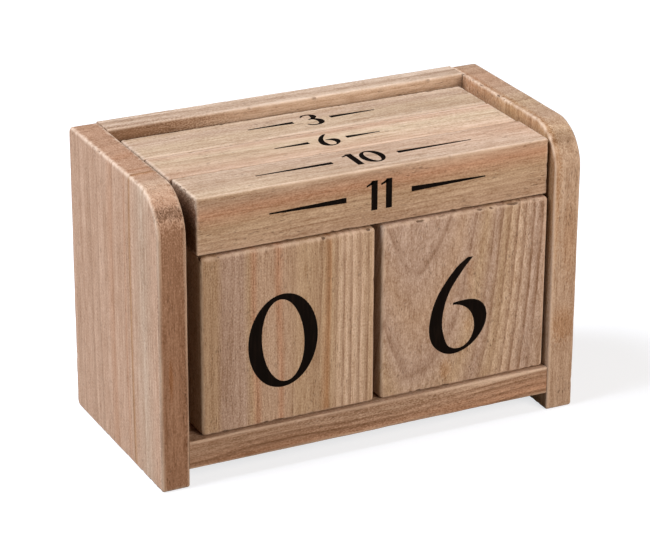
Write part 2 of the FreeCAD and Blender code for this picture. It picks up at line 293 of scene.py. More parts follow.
def wooden_mesh(name, surface, sizes, grain_axis, seed):
    """A mesh of the worn surface. The innermost ring of each end face has shrunk to one point, its pole.

    Its attributes are edge_wear, the nearness of an edge, which pales it as sanded wood
    and as a painted highlight; chip, how deep a chip is there, which the wood darkens as painted shade;
    and end_grain, the square of how far a face looks along the grain."""
    rubbed, chipped = wear(surface, grain_axis, seed)
    depth = (sizes.rub * rubbed + sizes.chip * chipped) / MM
    points = surface.points - surface.normals * depth[..., None]
    rings, around = points.shape[:2]
    flat = points.reshape(-1, 3)
    poles = np.stack((flat[:around].mean(axis=0), flat[-around:].mean(axis=0)))
    inner = flat[around:-around]
    vertices = np.concatenate((inner, poles))
    quads = closed_grid(rings - 2, around)
    spot = np.arange(around)
    after = (spot + 1) % around
    last = (rings - 3) * around
    first_pole = np.full(around, len(inner))
    left_fan = np.stack((first_pole, spot, after), axis=-1)
    right_fan = np.stack((first_pole + 1, last + after, last + spot), axis=-1)
    mesh = bpy.data.meshes.new(name)
    mesh.from_pydata((vertices * MM).tolist(), [], quads.tolist() + left_fan.tolist() + right_fan.tolist())
    mesh.polygons.foreach_set("use_smooth", np.ones(len(mesh.polygons), bool))
    mesh.set_sharp_from_angle(angle=math.radians(SHARP_ANGLE))
    attributes = {
        # Nearness of an edge, which pales it as sanded wood and as a painted highlight.
        "edge_wear": np.exp(-((surface.from_edge / SANDED_AND_HIGHLIGHT_BAND) ** 2)),
        "chip": chipped,
        "end_grain": surface.normals[..., grain_axis] ** 2,
    }
    for title, values in attributes.items():
        values = values.reshape(-1)
        kept = np.concatenate((values[around:-around], values[:1], values[-1:]))
        mesh.attributes.new(title, "FLOAT", "POINT").data.foreach_set("value", kept.astype(np.float32))
    mesh.update()
    return mesh


def node_box(node, skin):
    """Low and high corner of a CAD node in millimetres, drawn in by the skin."""
    low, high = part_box(node)
    return np.array(low) / MM + skin, np.array(high) / MM - skin


Blank = namedtuple("Blank", "node body slot radii left_round right_round")


def wooden_piece(blank, scene):
    """One board, cube or bar in its cut of wood, in place of its CAD node."""
    sizes = scene.calendar_sizes
    step = (sizes.board_step if blank.body == "cabinet" else sizes.block_step) / MM
    low, high = node_box(blank.node, sizes.skin / MM)
    outline = rounded_outline(low[1:], high[1:], blank.radii, step)
    surface = carried(outline, low[0], high[0], blank.left_round, blank.right_round, step)
    cut = CUTS[blank.node]
    mesh = wooden_mesh(blank.node, surface, sizes, "XYZ".index(cut.grain), SEEDS[blank.node])
    material = raw_wood(f"sanded_fir_{blank.node}", cut, low, scene.calendar_colours)
    finish_piece(f"{blank.node}_wood", mesh, material, blank.body, [blank.node])


# Where a piece is cut from its log. Grain is the axis along the log. Pith is a point on the log's
# middle, from the piece's low corner. Tilt turns the log, in degrees about X, Y and Z. Start is the
# distance from the pith at which rings and zones begin, and span is how far they go on. Rings are dark
# lines: (distance from the pith, depth 0 to 1). Zones are the tones between: (distance, tone). Marks
# are stains, and some are patches of painted shade and one of painted light: (middle from the low
# corner, reach, tone, depth).
Cut = namedtuple("Cut", "grain pith tilt start span rings zones marks")

CUTS = {
    "side_panel_left": Cut(
        "Z", (0, 100, 0), (0.6, 0, 0), 40, 60,
        ((46, 0.3), (48, 0.35), (55.5, 0.4), (60.5, 0.4), (66, 0.15), (71, 0.35), (78.4, 0.05), (79.5, 0.95),
         (81.6, 0.1), (82.7, 0.9), (88, 0.15), (97, 0.1)),
        ((40, "rosy"), (66, "rosy"), (70, "pink"), (72, "rosy"), (78.6, "rosy"), (79.6, "pink"),
         (80.6, "rosy"), (82.0, "rosy"), (82.9, "amber"), (84, "rosy"), (91, "base"), (97, "rosy")),
        (
            ((4, 0, 30), (20, 1.3, 110), "dark", 0.75),
            ((4, 0.8, 77.6), (9, 3.2, 3.2), "burnt", 0.8),
            ((3, 0, 32), (0.8, 2, 7), "amber", 0.8),
            ((3, 6, 0.3), (5, 6, 0.8), "burnt", 0.7),
            ((4, 8, 81), (12, 7, 4), "pale", 0.6),
            # Painted shade: the inner face darker, as the shade in the gap beside the left cube.
            ((8, 15, 40), (1.5, 40, 90), "dark", 0.8),
        ),
    ),
    "side_panel_right": Cut(
        "Z", (8, 110, 0), (-0.8, 0.5, 0), 50, 60,
        ((54, 0.3), (59, 0.4), (66, 0.3), (71, 0.4), (77, 0.2), (84, 0.4), (89, 0.3), (95, 0.4), (101, 0.3),
         (106, 0.3)),
        ((50, "base"), (62, "rosy"), (76, "base"), (84, "straw"), (96, "base"), (104, "straw"),
         (110, "base")),
        (
            ((4, 25, 82), (12, 50, 4), "pale", 0.6),
            ((0, 22, 70), (2.5, 60, 40), "amber", 0.9),
            ((0, 22, 74), (2.5, 60, 14), "dark", 0.25),
            ((1.2, 0, 64), (2.4, 2.5, 26), "pale", 0.4),
            ((4, 3.2, 78.8), (5, 4.0, 3.2), "burnt", 0.25),
            ((4, 0, 25), (5, 2.0, 7), "amber", 0.6),
            ((5, 0, 50), (2.5, 2.0, 16), "amber", 0.35),
        ),
    ),
    "back_panel": Cut(
        "X", (0, -30, 90), (0, 1.0, 0), 30, 50,
        ((33, 0.4), (38, 0.5), (42, 0.4), (47, 0.5), (53, 0.4), (58, 0.5), (64, 0.3), (70, 0.4), (76, 0.5)),
        ((30, "base"), (44, "pale"), (55, "pink"), (66, "base"), (80, "straw")),
        # Painted shadow of the left panel on the left of the front strip, and painted light towards its
        # right.
        (((0, 0, 73), (36, 3, 9), "dark", 0.9), ((75, 0, 79), (48, 2.5, 8), "pale", 0.9)),
    ),
    "shelf": Cut(
        "X", (0, 30, -26), (0, 1.4, 0.6), 30, 40,
        ((33, 0.6), (37.6, 0.8), (39.0, 0.8), (40.8, 0.9), (42.0, 0.7), (44.5, 0.6), (50, 0.5), (58, 0.6),
         (64, 0.5)),
        ((30, "base"), (38, "pink"), (43, "base"), (52, "pink"), (60, "base"), (70, "pale")),
        # Painted shade: the front darker towards the shelf's left end.
        (((0, 0, 4), (90, 8, 14), "dark", 0.45),),
    ),
    "day_cube_left": Cut(
        "Z", (-60, 0, 0), (0, -0.5, 0), 60, 50,
        ((63.5, 0.2), (74.6, 0.05), (75.5, 0.55), (81.9, 0.05), (82.6, 0.4), (86.5, 0.35), (93.6, 0.5),
         (95.8, 0.6), (98.4, 0.5), (100.6, 0.6), (102.8, 0.65), (105.1, 0.65), (107.3, 0.75), (109.2, 0.6)),
        ((60, "straw"), (64, "straw"), (66, "grey"), (72, "grey"), (74, "straw"), (75.5, "pink"),
         (77, "base"), (81.2, "base"), (82.6, "pink"), (84, "base"), (88, "straw"), (94, "straw"),
         (95.8, "amber"), (96.8, "straw"), (100, "pale"), (105, "pale"), (109, "straw")),
        # Painted shade from the left panel, with a greyer tone: the left of the front darker.
        (((0, 0, 25), (22, 8, 60), "dark", 0.35),),
    ),
    "day_cube_right": Cut(
        "Z", (11.5, 14, 34), (-14, 0, 0), 0, 50,
        ((12.4, 0.03), (14, 0.65), (18.4, 0.03), (20.2, 0.6), (23.6, 0.1), (25.3, 0.6), (27.5, 0.75),
         (30, 0.7), (32.6, 0.8), (34.9, 0.9), (37.2, 0.9), (39.4, 0.95), (42.5, 0.8), (46, 0.8), (49, 0.8)),
        ((0, "grey"), (14, "grey"), (17, "base"), (20, "grey"), (23, "straw"), (26, "grey"), (29, "straw"),
         (33, "pale"), (38, "grey"), (50, "straw")),
        (
            ((19.5, 0, 5), (2.2, 2, 4), "amber", 0.6),
            ((26.5, 0, 32), (1.5, 2, 6), "amber", 0.35),
            ((26, 0, 17), (1.4, 2, 2.6), "amber", 0.35),
        ),
    ),
    "month_bar_front": Cut(
        "X", (0, 14, -60), (0, 1.1, 0.5), 60, 50,
        ((63, 0.3), (64.5, 0.4), (66.2, 0.35), (68, 0.4), (70.5, 0.2), (76, 0.15), (82, 0.3), (90, 0.4),
         (100, 0.4)),
        ((60, "base"), (68, "straw"), (72, "pink"), (75, "base"), (77, "straw"), (90, "base"),
         (110, "straw")),
        (((-0.4, 7, 6), (1.5, 14, 14), "burnt", 0.9), ((100, 8, 17), (80, 30, 5), "pale", 0.5)),
    ),
    "month_bar_middle": Cut(
        "X", (0, -50, 40), (0, 0.4, 1.2), 50, 50,
        ((54, 0.1), (58, 0.15), (61, 0.1), (65, 0.15), (70, 0.15), (76, 0.3), (84, 0.4), (93, 0.4)),
        ((50, "base"), (56, "rosy"), (66, "straw"), (70, "rosy"), (85, "base"), (100, "pink")),
        (((-0.5, 7, 8), (2, 9, 9), "burnt", 0.6), ((100, 8, 17), (90, 30, 5), "pale", 0.9)),
    ),
    "month_bar_rear": Cut(
        "X", (0, 70, 30), (0, -0.5, -0.8), 50, 50,
        ((53, 0.2), (57, 0.15), (62, 0.1), (66, 0.15), (69, 0.15), (76, 0.4), (84, 0.4), (93, 0.4)),
        ((50, "base"), (56, "straw"), (62, "base"), (66, "straw"), (80, "base"), (100, "straw")),
        (((-0.5, 7, 8), (2, 9, 9), "burnt", 0.6),),
    ),
}

# Where the random draws for each piece's wear start, in the order of the cuts.
SEEDS = dict(zip(CUTS, (11, 23, 31, 43, 50, 60, 70, 80, 90)))

# Soft random patterns in the wood: size across and along the grain in millimetres, and detail.
CLOUDS = {
    "bend": (24.0, 80.0, 1.0),
    "ripple": (5.0, 30.0, 1.0),
    "patch": (9.0, 24.0, 2.0),
    "streak": (1.3, 38.0, 3.0),
    "fibre": (0.4, 5.0, 2.0),
    "pore": (0.36, 1.8, 1.0),
    "cluster": (5.0, 9.0, 1.0),
    "mottle": (0.33, 0.6, 1.0),
}
# How many millimetres the patterns move a growth ring, and how much they weigh in the wood's brightness.
RING_BENDS = {"bend": 5.0, "ripple": 0.9}
GRAIN_WEIGHTS = {"streak": 1.2, "fibre": 1.4, "mottle": 1.5, "patch": 0.4}

# Shares of the wood's tone, in linear light: its darkest and palest fibres, and its end grain.
DARK_FIBRE = (0.70, 0.60, 0.50, 1)
PALE_FIBRE = (1.24, 1.27, 1.28, 1)
END_GRAIN = (0.83, 0.76, 0.70, 1)

WOODS = ("sanded", "pale", "base", "straw", "rosy", "pink", "grey", "amber", "dark", "burnt")


def new_material(name):
    """A material with an empty node tree, and that tree."""
    material = bpy.data.materials.new(name)
    material.use_nodes = True
    material.node_tree.nodes.clear()
    return material, material.node_tree


def add(tree, kind, inputs=None, **settings):
    """Adds one node, sets its properties, and links or fills its inputs."""
    made = tree.nodes.new(kind)
    for title, value in settings.items():
        setattr(made, title, value)
    for socket, value in (inputs or {}).items():
        if isinstance(value, bpy.types.NodeSocket):
            tree.links.new(value, made.inputs[socket])
        else:
            made.inputs[socket].default_value = value
    return made


def set_stops(ramp, stops):
    """Gives a ColorRamp its stops, each a position and a colour."""
    elements = ramp.color_ramp.elements
    elements[0].position, elements[0].color = stops[0]
    elements[1].position, elements[1].color = stops[-1]
    for position, tone in stops[1:-1]:
        elements.new(position).color = tone


def raw_wood(name, cut, corner, colours):
    """Fir, sawn, planed and sanded, left raw. It looks matt and dry: pale early wood, orange-brown
    late wood lines from the growth rings, fine fibres and short dark pores along the grain, darker
    end grain, and edges sanded paler than the faces, a paleness that is also a painted highlight.
    Chips are darkened with painted shade, and some marks paint shade, one paints light."""
    material, tree = new_material(name)
    tones = {title: tuple(getattr(colours, title)) for title in WOODS}

    place = add(tree, "ShaderNodeTexCoord").outputs["Object"]
    upright = Euler([math.radians(a) for a in cut.tilt])
    lying = Euler((0, -math.pi / 2, 0)) if cut.grain == "X" else Euler()
    turn = lying.to_matrix() @ upright.to_matrix()
    pith = Vector(corner) + Vector(cut.pith)
    laid = {"Vector": place, "Location": -(turn @ pith), "Rotation": turn.to_euler(), "Scale": (1 / MM,) * 3}
    log = add(tree, "ShaderNodeMapping", laid).outputs[0]

    clouds = {}
    for title, (across, along, detail) in CLOUDS.items():
        cells = (1 / across, 1 / across, 1 / along)
        stretched = add(tree, "ShaderNodeVectorMath", {0: log, 1: cells}, operation="MULTIPLY")
        inputs = {"Vector": stretched.outputs[0], "Scale": 1.0, "Detail": detail}
        clouds[title] = add(tree, "ShaderNodeTexNoise", inputs).outputs[0]

    # Growth rings: distance from the pith, wandering by a few millimetres.
    flat = add(tree, "ShaderNodeVectorMath", {0: log, 1: (1, 1, 0)}, operation="MULTIPLY").outputs[0]
    radius = add(tree, "ShaderNodeVectorMath", {0: flat}, operation="LENGTH").outputs["Value"]
    for title, reach in RING_BENDS.items():
        moved = {0: clouds[title], 1: reach, 2: radius}
        radius = add(tree, "ShaderNodeMath", moved, operation="MULTIPLY_ADD").outputs[0]
    start = cut.start + sum(RING_BENDS.values()) / 2
    spread = {"Value": radius, "From Min": start, "From Max": start + cut.span}
    share = add(tree, "ShaderNodeMapRange", spread, clamp=False).outputs[0]
    share = add(tree, "ShaderNodeMath", {0: share, 1: 1.0}, operation="PINGPONG").outputs[0]

    zones = add(tree, "ShaderNodeValToRGB", {"Fac": share})
    set_stops(zones, [((at - cut.start) / cut.span, tones[tone]) for at, tone in cut.zones])
    lines = add(tree, "ShaderNodeValToRGB", {"Fac": share})
    fall, sharpness = 0.35 / cut.span, 2.0
    stops = [(0.0, (0, 0, 0, 1))]
    for at, depth in cut.rings:
        position = (at - cut.start) / cut.span
        peak = depth ** (1 / sharpness)
        stops += [(position, (peak, peak, peak, 1)), (min(position + fall, 1.0), (0, 0, 0, 1))]
    set_stops(lines, stops)
    late = add(tree, "ShaderNodeMath", {0: lines.outputs[0], 1: sharpness}, operation="POWER").outputs[0]
    patches = {"Value": clouds["patch"], "From Min": 0.3, "From Max": 0.6, "To Min": 0.35, "To Max": 1.15}
    broken = add(tree, "ShaderNodeMapRange", patches).outputs[0]
    late = add(tree, "ShaderNodeMath", {0: late, 1: broken}, operation="MULTIPLY", use_clamp=True).outputs[0]
    ringed = {0: late, 6: zones.outputs[0], 7: tones["dark"]}
    tone = add(tree, "ShaderNodeMix", ringed, data_type="RGBA").outputs[2]

    # Fibres and streaks: one brightness from several sizes of pattern, darker parts redder.
    light = 0.5
    for title, weight in GRAIN_WEIGHTS.items():
        centred = add(tree, "ShaderNodeMath", {0: clouds[title], 1: 0.5}, operation="SUBTRACT").outputs[0]
        weighed = {0: centred, 1: weight, 2: light}
        light = add(tree, "ShaderNodeMath", weighed, operation="MULTIPLY_ADD").outputs[0]
    grain = add(tree, "ShaderNodeMix", {0: light, 6: DARK_FIBRE, 7: PALE_FIBRE}, data_type="RGBA").outputs[2]
    grained = {0: 1.0, 6: tone, 7: grain}
    tone = add(tree, "ShaderNodeMix", grained, data_type="RGBA", blend_type="MULTIPLY").outputs[2]

    # Pores: short dark dashes, gathered in clusters.
    dashes = {"Value": clouds["pore"], "From Min": 0.6, "From Max": 0.72, "To Max": 0.6}
    pores = add(tree, "ShaderNodeMapRange", dashes).outputs[0]
    clusters = {"Value": clouds["cluster"], "From Min": 0.4, "From Max": 0.6}
    gathered = add(tree, "ShaderNodeMapRange", clusters).outputs[0]
    pores = add(tree, "ShaderNodeMath", {0: pores, 1: gathered}, operation="MULTIPLY").outputs[0]
    tone = add(tree, "ShaderNodeMix", {0: pores, 6: tone, 7: tones["burnt"]}, data_type="RGBA").outputs[2]

    # End grain drinks in dust and looks darker.
    end = add(tree, "ShaderNodeAttribute", attribute_name="end_grain").outputs["Fac"]
    dusty = {0: end, 6: tone, 7: END_GRAIN}
    tone = add(tree, "ShaderNodeMix", dusty, data_type="RGBA", blend_type="MULTIPLY").outputs[2]

    # Stains, and patches of painted shade and light: inside an ellipsoid with a ragged rim, the wood takes
    # the mark's share of the usual tone.
    ragged, rim_outside, rim_inside = 1.2, 1.7, 0.9
    for middle, reach, title, depth in cut.marks:
        share_left = [t / b for t, b in zip(tones[title], tones["base"])]
        centre = [(c + m) * MM for c, m in zip(corner, middle)]
        cells = [1 / (r * MM) for r in reach]
        away = add(tree, "ShaderNodeVectorMath", {0: place, 1: centre}, operation="SUBTRACT").outputs[0]
        away = add(tree, "ShaderNodeVectorMath", {0: away, 1: cells}, operation="MULTIPLY").outputs[0]
        away = add(tree, "ShaderNodeVectorMath", {0: away}, operation="LENGTH").outputs["Value"]
        rough = {0: clouds["mottle"], 1: ragged, 2: away}
        away = add(tree, "ShaderNodeMath", rough, operation="MULTIPLY_ADD").outputs[0]
        fade = {"Value": away, "From Min": rim_outside, "From Max": rim_inside, "To Max": depth}
        mark_fade = add(tree, "ShaderNodeMapRange", fade, interpolation_type="SMOOTHSTEP").outputs[0]
        marked = {0: mark_fade, 6: tone, 7: share_left}
        tone = add(tree, "ShaderNodeMix", marked, data_type="RGBA", blend_type="MULTIPLY").outputs[2]

    # Sanded edges look paler, and this paleness also paints a highlight along them. The streaks along the
    # grain leave them ragged.
    edge = add(tree, "ShaderNodeAttribute", attribute_name="edge_wear").outputs["Fac"]
    streaky = {0: clouds["streak"], 1: 1.8, 2: edge}
    edge = add(tree, "ShaderNodeMath", streaky, operation="MULTIPLY_ADD").outputs[0]
    band = {"Value": edge, "From Min": 1.2, "From Max": 2.1, "To Max": 0.6}
    edge = add(tree, "ShaderNodeMapRange", band).outputs[0]
    tone = add(tree, "ShaderNodeMix", {0: edge, 6: tone, 7: tones["sanded"]}, data_type="RGBA").outputs[2]

    # Painted shade: chips are darkened towards burnt wood, as the shade inside a dent.
    chip = add(tree, "ShaderNodeAttribute", attribute_name="chip").outputs["Fac"]
    dirt = {"Value": chip, "From Min": 0.1, "From Max": 0.5, "To Max": 0.8}
    chip = add(tree, "ShaderNodeMapRange", dirt).outputs[0]
    tone = add(tree, "ShaderNodeMix", {0: chip, 6: tone, 7: tones["burnt"]}, data_type="RGBA").outputs[2]

    # Fibres stand up and pores lie deep, by about a tenth of a millimetre.
    pore_depth, rise = 1.2, 0.12
    sunk = {0: pores, 1: -pore_depth, 2: clouds["fibre"]}
    relief = add(tree, "ShaderNodeMath", sunk, operation="MULTIPLY_ADD").outputs[0]
    raised = {"Strength": 0.5, "Distance": rise * MM, "Height": relief}
    bump = add(tree, "ShaderNodeBump", raised).outputs[0]
    matt = {"Base Color": tone, "Roughness": 0.75, "Specular IOR Level": 0.15, "Normal": bump}
    shader = add(tree, "ShaderNodeBsdfPrincipled", matt)
    add(tree, "ShaderNodeOutputMaterial", {"Surface": shader.outputs[0]})
    return material


def flecked(name, cells, plain, share, low, high, finish):
    """A material of one plain tone that turns to a share of it where a noise rises from low to high.

    Cells are the noise's cells in a metre, along X, Y and Z. Finish is the shader's other inputs."""
    material, tree = new_material(name)
    place = add(tree, "ShaderNodeTexCoord").outputs["Object"]
    scaled = add(tree, "ShaderNodeMapping", {"Vector": place, "Scale": cells}).outputs[0]
    cloud = add(tree, "ShaderNodeTexNoise", {"Vector": scaled, "Scale": 1.0, "Detail": 3.0}).outputs[0]
    fleck = add(tree, "ShaderNodeMapRange", {"Value": cloud, "From Min": low, "From Max": high}).outputs[0]
    changed = tuple(share * part for part in plain[:3]) + (1.0,)
    tone = add(tree, "ShaderNodeMix", {0: fleck, 6: plain, 7: changed}, data_type="RGBA").outputs[2]
    shader = add(tree, "ShaderNodeBsdfPrincipled", {"Base Color": tone, **finish})
    add(tree, "ShaderNodeOutputMaterial", {"Surface": shader.outputs[0]})
    return material


def printed_ink(colours):
    """Pigment ink, stamped on raw wood. It is nearly black and matt, and the fibres show in it faintly."""
    matt = {"Roughness": 0.7, "Specular IOR Level": 0.05}
    return flecked("stamped_ink", (1600, 1600, 160), tuple(colours.ink), 2.6, 0.5, 0.75, matt)


def turned_beech(colours):
    """Beech, turned and fluted into dowels. It looks pale and even, with short dark flecks along the pin."""
    bare = {"Roughness": 0.7}
    return flecked("turned_beech", (500, 2600, 2600), tuple(colours.beech), 0.55, 0.55, 0.7, bare)


# Digits, in millimetres from the digit's middle at a height of 26.4. A stroke is a row of stations,
# each the two sides of the stroke there: outer x, outer y, inner x, inner y.
DIGIT_HEIGHT = 26.4

Oval = namedtuple("Oval", "middle outer outer_lean inner inner_lean")

DIGITS = {
    "0": (Oval((0.1, 0.0), (10.0, 13.2), 2, (6.05, 11.75), -5),),
    "1": (
        ((-1.9, 13.2, 2.2, 13.2), (-1.9, -13.2, 2.2, -13.2)),
        ((-1.0, 13.2, -1.0, 10.9), (-4.2, 11.0, -4.0, 9.5), (-7.4, 9.5, -7.2, 8.4)),
    ),
    "2": (
        (
            (-8.0, 6.2, -6.7, 6.5), (-7.2, 9.8, -5.8, 9.0), (-4.2, 12.4, -3.4, 11.2),
            (0.2, 13.2, 0.0, 11.9), (4.8, 12.0, 3.0, 10.7), (7.6, 9.0, 3.9, 8.2), (7.9, 5.2, 3.7, 5.0),
            (6.0, 0.9, 2.3, 1.6), (1.4, -4.2, -1.0, -2.7), (-3.8, -9.0, -5.6, -7.6),
            (-6.4, -11.6, -8.5, -10.6),
        ),
        ((-8.6, -10.3, -8.6, -13.2), (8.0, -10.3, 8.5, -13.2)),
    ),
    "3": (
        (
            (-7.2, 8.4, -6.0, 8.7), (-5.2, 11.8, -4.4, 10.7), (-0.8, 13.2, -0.9, 11.9),
            (3.8, 12.2, 2.3, 11.0), (6.5, 9.4, 2.8, 8.8), (6.4, 5.8, 2.6, 6.0), (4.0, 2.7, 1.2, 3.4),
            (-0.4, 0.8, -2.2, 1.8),
        ),
        (
            (-2.4, 1.9, -2.4, 0.7), (1.4, 2.1, 0.6, 0.8), (5.6, 0.6, 3.0, -1.0), (8.2, -3.4, 4.1, -4.2),
            (7.9, -8.0, 3.9, -7.7), (4.6, -11.9, 2.3, -10.8), (-0.8, -13.2, -0.9, -11.9),
            (-5.6, -12.0, -4.8, -10.8), (-8.2, -8.8, -6.9, -8.4),
        ),
    ),
    "4": (
        ((2.3, 13.2, 6.3, 13.2), (2.3, -13.2, 6.3, -13.2)),
        ((2.3, 13.2, 3.4, 11.0), (-9.2, -4.4, -7.0, -4.4)),
        ((-9.2, -4.2, -9.2, -6.7), (9.2, -4.2, 9.2, -6.7)),
    ),
    "5": (
        ((-5.0, 13.2, -5.0, 10.2), (7.2, 13.2, 6.8, 10.2)),
        ((-5.2, 13.2, -3.7, 13.2), (-6.2, 1.0, -4.7, 1.6)),
        (
            (-5.9, 1.5, -5.3, 0.7), (-0.6, 4.1, -0.9, 2.8), (4.9, 2.7, 2.7, 1.2), (8.1, -1.4, 4.2, -2.0),
            (8.3, -6.6, 4.1, -6.4), (5.1, -11.4, 2.6, -10.4), (-0.6, -13.2, -0.8, -11.9),
            (-5.6, -12.0, -4.8, -10.8), (-8.0, -8.8, -6.8, -8.4),
        ),
    ),
    "6": (
        (
            (2.6, 13.7, 4.2, 13.6), (-0.2, 11.8, 2.1, 11.4), (-2.7, 9.2, 0.1, 8.9), (-5.2, 5.9, -1.7, 6.4),
            (-7.2, 2.2, -3.2, 3.6), (-8.3, -1.6, -4.3, 0.2), (-8.75, -5.1, -4.8, -3.3),
            (-8.4, -8.1, -4.6, -6.4), (-7.3, -10.5, -3.9, -9.1), (-4.4, -13.0, -2.5, -11.5),
            (-0.6, -13.75, 0.4, -12.4), (4.3, -11.9, 3.6, -10.7), (7.4, -8.6, 4.9, -7.6),
            (8.75, -4.6, 4.6, -4.1), (7.7, -0.8, 2.9, -1.3), (4.6, 1.2, 0.7, 0.1), (-1.6, 1.2, -1.7, 0.6),
        ),
    ),
    "7": (
        ((-8.4, 13.2, -8.4, 10.2), (8.6, 13.2, 7.0, 10.2)),
        (
            (8.6, 13.0, 6.6, 10.4), (4.4, 5.0, 1.8, 3.6), (0.8, -4.2, -2.6, -5.0), (-0.8, -13.2, -5.0, -13.2),
        ),
    ),
    "8": (
        Oval((0.1, 6.7), (7.1, 6.5), 0, (3.4, 5.2), -6),
        Oval((0.0, -6.1), (8.8, 7.1), 0, (4.9, 5.8), -6),
    ),
}
# A 9 is a 6 turned half round.
DIGITS["9"] = tuple(tuple(tuple(-part for part in station) for station in stroke) for stroke in DIGITS["6"])


def splined(stations, per_span=7):
    """Points of the natural cubic spline through the stations of a stroke, by their distance apart."""
    rows = np.array(stations, float)
    if len(rows) == 2:
        return rows
    middles = (rows[:, :2] + rows[:, 2:]) / 2
    knots = np.concatenate(((0.0,), np.cumsum(np.linalg.norm(np.diff(middles, axis=0), axis=-1))))
    gaps = np.diff(knots)
    slopes = np.diff(rows, axis=0) / gaps[:, None]
    matrix = np.eye(len(rows))
    inner = np.arange(1, len(rows) - 1)
    matrix[inner, inner] = 2 * (gaps[:-1] + gaps[1:])
    matrix[inner, inner - 1] = gaps[:-1]
    matrix[inner, inner + 1] = gaps[1:]
    right = np.zeros_like(rows)
    right[1:-1] = 6 * np.diff(slopes, axis=0)
    bends = np.linalg.solve(matrix, right)
    at = np.linspace(0, len(gaps), len(gaps) * per_span + 1)
    span = np.minimum(at.astype(int), len(gaps) - 1)
    h = gaps[span][:, None]
    b = (at - span)[:, None] * h
    a = h - b
    curved = (bends[span] * (a**3 / h - a * h) + bends[span + 1] * (b**3 / h - b * h)) / 6
    return curved + rows[span] * a / h + rows[span + 1] * b / h


def oval_rows(oval, count=72):
    """Both sides of a closed stroke between two leaning ellipses: middle + turned (a sin t, b cos t)."""
    t = np.linspace(0, 2 * math.pi, count, endpoint=False)
    sides = []
    for (wide, tall), lean in ((oval.outer, oval.outer_lean), (oval.inner, oval.inner_lean)):
        angle = math.radians(lean)
        x, y = wide * np.sin(t), tall * np.cos(t)
        sides += [
            oval.middle[0] + x * math.cos(angle) + y * math.sin(angle),
            oval.middle[1] - x * math.sin(angle) + y * math.cos(angle),
        ]
    return np.stack(sides, axis=-1)


def stroke_slab(rows, closed):
    """Vertices (x, y, level) and faces of a thin closed slab along a stroke. Level is 1 on top, 0 below."""
    outer, inner = rows[:, :2], rows[:, 2:]
    count = len(rows)
    section = np.stack((outer, inner, inner, outer), axis=1)
    level = np.broadcast_to(np.array((1.0, 1.0, 0.0, 0.0))[None, :, None], (count, 4, 1))
    vertices = np.concatenate((section, level), axis=-1).reshape(-1, 3)
    faces = (closed_grid(count + 1 if closed else count, 4) % (4 * count)).tolist()
    if not closed:
        last = 4 * (count - 1)
        faces += [[3, 2, 1, 0], [last, last + 1, last + 2, last + 3]]
    return vertices, faces


def thickened(rows, weight):
    """A stroke's two sides moved apart, so that it grows by that factor."""
    middles = (rows + np.roll(rows, 2, axis=1)) / 2
    return middles + (rows - middles) * weight


def number_slabs(number, height, weight=1.0, spacing=0.12):
    """Slabs of a row of digits, centred, with a gap of that share of the height between them."""
    scale = height / DIGIT_HEIGHT
    strokes = []
    pen = 0.0
    for digit in number:
        drawn = []
        for stroke in DIGITS[digit]:
            closed = isinstance(stroke, Oval)
            rows = oval_rows(stroke) if closed else splined(stroke)
            drawn.append((thickened(rows, weight), closed))
        all_x = np.concatenate([rows[:, 0::2].ravel() for rows, _ in drawn])
        for rows, closed in drawn:
            moved = rows * scale
            if len(number) > 1:
                moved[:, 0::2] += pen - all_x.min() * scale
            strokes.append((moved, closed))
        pen += (np.ptp(all_x) + spacing * DIGIT_HEIGHT) * scale
    if len(number) > 1:
        middle = (pen - spacing * height) / 2
        for rows, _ in strokes:
            rows[:, 0::2] -= middle
    return [stroke_slab(rows, closed) for rows, closed in strokes]


def rule_slabs(start, end):
    """Slabs of two plain rules beside a number, each from its start out to its end, tapering outwards."""
    near_half, far_half = RULE_THICKNESS / 2, RULE_THICKNESS / 8
    slabs = []
    for side in (-1, 1):
        near, far = side * start, side * end
        rows = np.array(((near, near_half, near, -near_half), (far, far_half, far, -far_half)))
        slabs.append(stroke_slab(rows, False))
    return slabs


Face = namedtuple("Face", "middle right up outward")


def printed_mesh(name, prints, skin):
    """One closed mesh of ink slabs: each print is a face of a piece with its slabs and their place on it.

    A slab reaches from the nominal face to twice the skin below it, so its lower half is in the wood."""
    thickness = 2 * skin
    vertices, faces = [], []
    base = 0
    for face, slabs, (x, y) in prints:
        for flat, quads in slabs:
            right, up, out = flat[:, :1] + x, flat[:, 1:2] + y, (flat[:, 2:] - 1) * thickness
            spots = face.middle + right * face.right + up * face.up + out * face.outward
            vertices.append(spots)
            faces += [[index + base for index in quad] for quad in quads]
            base += len(spots)
    mesh = bpy.data.meshes.new(name)
    mesh.from_pydata((np.concatenate(vertices) * MM).tolist(), [], faces)
    outwards(mesh)
    return mesh


def outwards(mesh):
    """Turns the faces of a closed mesh outwards."""
    work = bmesh.new()
    work.from_mesh(mesh)
    bmesh.ops.recalc_face_normals(work, faces=work.faces)
    work.to_mesh(mesh)
    work.free()


def faces_of(node):
    """The six faces of a boxy node: middle, and right and up as seen when its numbers are read."""
    low, high = node_box(node, 0.0)
    middle, half = (low + high) / 2, (high - low) / 2
    x, y, z = np.eye(3)
    looks = {
        "front": (x, z, -y),
        "back": (-x, z, y),
        "left": (-y, z, -x),
        "right": (y, z, x),
        "top": (x, y, z),
        "bottom": (x, -y, -z),
    }
    return {side: Face(middle + half * out, right, up, out) for side, (right, up, out) in looks.items()}


# Radii of the outlines' arcs: low rear, high rear, high front, low front. Then the rounds of the side
# panels' outer and inner faces, and the radius of all the edges of a cube and of a bar.
SIDE_RADII = (2.0, 2.0, 12.0, 0.9)
BOARD_RADII = (0.6, 0.6, 0.6, 0.6)
SHELF_RADII = (0.05, 0.05, 0.6, 0.6)
OUTER_ROUND, INNER_ROUND = 0.7, 0.5
CUBE_RADIUS = 1.0
BAR_RADIUS = 0.5

